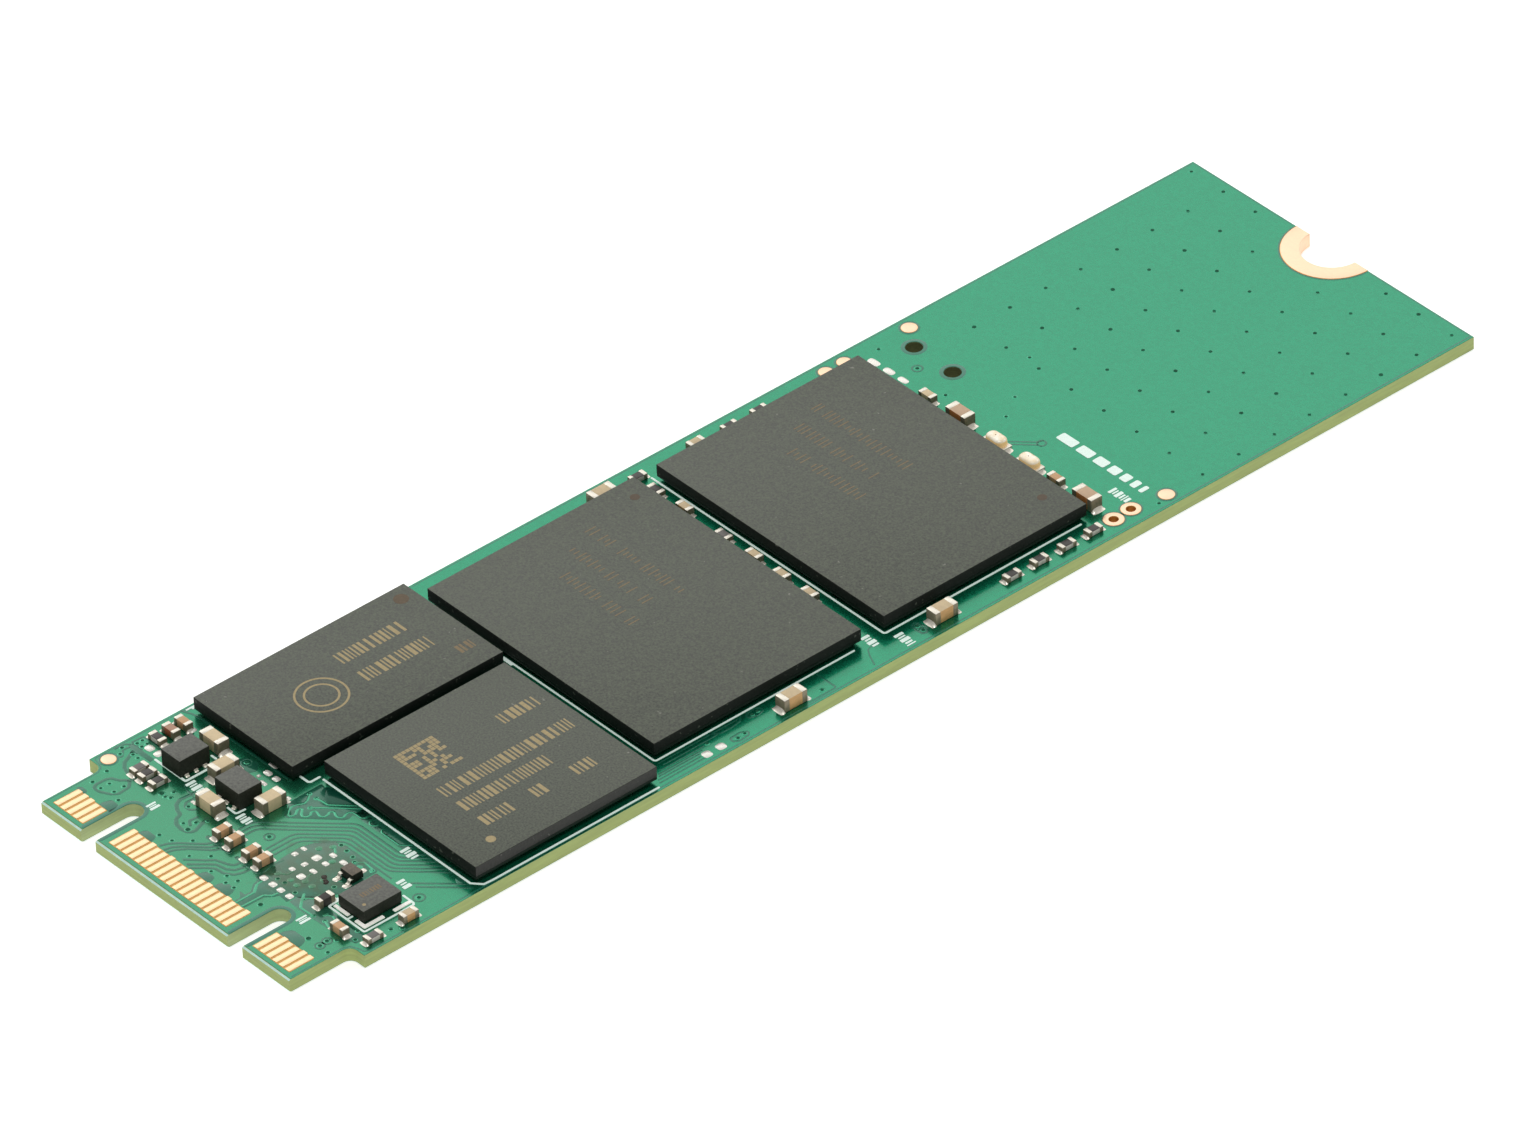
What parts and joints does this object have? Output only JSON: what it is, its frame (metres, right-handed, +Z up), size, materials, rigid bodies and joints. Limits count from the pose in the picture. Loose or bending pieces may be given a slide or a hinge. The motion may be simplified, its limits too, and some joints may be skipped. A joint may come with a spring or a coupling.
{
  "type": "solid state drive",
  "caption": "Bare solid state drive card keyed for B and M sockets, with controller, memory and flash packages, gold edge contacts and a half-round screw notch.",
  "frame": {"origin": "middle of the card's underside", "axes": "+X across the card, towards the B key; +Y along the card from the edge connector to the screw notch; +Z up out of the component side"},
  "size_m": [0.022, 0.08, 0.0019],
  "materials": {
    "solder_mask": "satin green solder mask over glass-epoxy laminate",
    "gold": "hard gold plating",
    "mould": "fine-grained black moulding compound",
    "laminate": "dark green laminate with solder balls",
    "silicon": "polished silicon",
    "ceramic_cream": "fired ceramic body, tinned end caps",
    "ceramic_brown": "fired ceramic body, tinned end caps",
    "resistor_dark": "glazed black top on a ceramic chip, tinned end caps",
    "bead_dark": "dark ferrite, tinned end caps",
    "led_lens": "milky resin lens"
  },
  "bodies": {
    "root": {"activity_led": "led_lens", "bypass_capacitor_1": "ceramic_brown", "bypass_capacitor_2": "ceramic_brown", "circuit_board": "solder_mask", "clock_capacitor_1": "ceramic_brown", "clock_capacitor_2": "ceramic_brown", "clock_oscillator": "mould", "clock_resistor": "resistor_dark", "contact_bank_b_bottom": "gold", "contact_bank_b_top": "gold", "contact_bank_centre_bottom": "gold", "contact_bank_centre_top": "gold", "contact_bank_m_bottom": "gold", "contact_bank_m_top": "gold", "controller_die": "silicon", "controller_mould_cap": "mould", "controller_substrate_and_balls": "laminate", "dram_die": "silicon", "dram_mould_cap": "mould", "dram_substrate_and_balls": "laminate", "end_capacitor_1": "ceramic_brown", "end_capacitor_2": "ceramic_brown", "end_capacitor_3": "ceramic_brown", "end_capacitor_4": "ceramic_brown", "feedback_resistor_1": "resistor_dark", "feedback_resistor_2": "resistor_dark", "feedback_resistor_3": "resistor_dark", "ferrite_bead": "bead_dark", "link_capacitor_1": "ceramic_brown", "link_capacitor_2": "ceramic_brown", "link_capacitor_3": "ceramic_brown", "link_capacitor_4": "ceramic_brown", "nand_1_die_stack": "silicon", "nand_1_mould_cap": "mould", "nand_1_substrate_and_balls": "laminate", "nand_2_die_stack": "silicon", "nand_2_mould_cap": "mould", "nand_2_substrate_and_balls": "laminate", "nand_capacitor_1": "ceramic_brown", "nand_capacitor_2": "ceramic_brown", "nand_capacitor_3": "ceramic_brown", "nand_capacitor_4": "ceramic_brown", "nand_capacitor_5": "ceramic_brown", "nand_capacitor_6": "ceramic_brown", "nand_capacitor_7": "ceramic_brown", "nand_resistor_1": "resistor_dark", "nand_resistor_2": "resistor_dark", "power_led": "led_lens", "regulator_1": "mould", "regulator_2": "mould", "reset_transistor": "mould", "row_resistor_1": "resistor_dark", "row_resistor_2": "resistor_dark", "row_resistor_3": "resistor_dark", "row_resistor_4": "resistor_dark", "screw_hole_plating": "gold", "supply_capacitor_1": "ceramic_cream", "supply_capacitor_2": "ceramic_cream", "supply_capacitor_3": "ceramic_cream", "supply_capacitor_4": "ceramic_cream"}
  },
  "joints": []
}
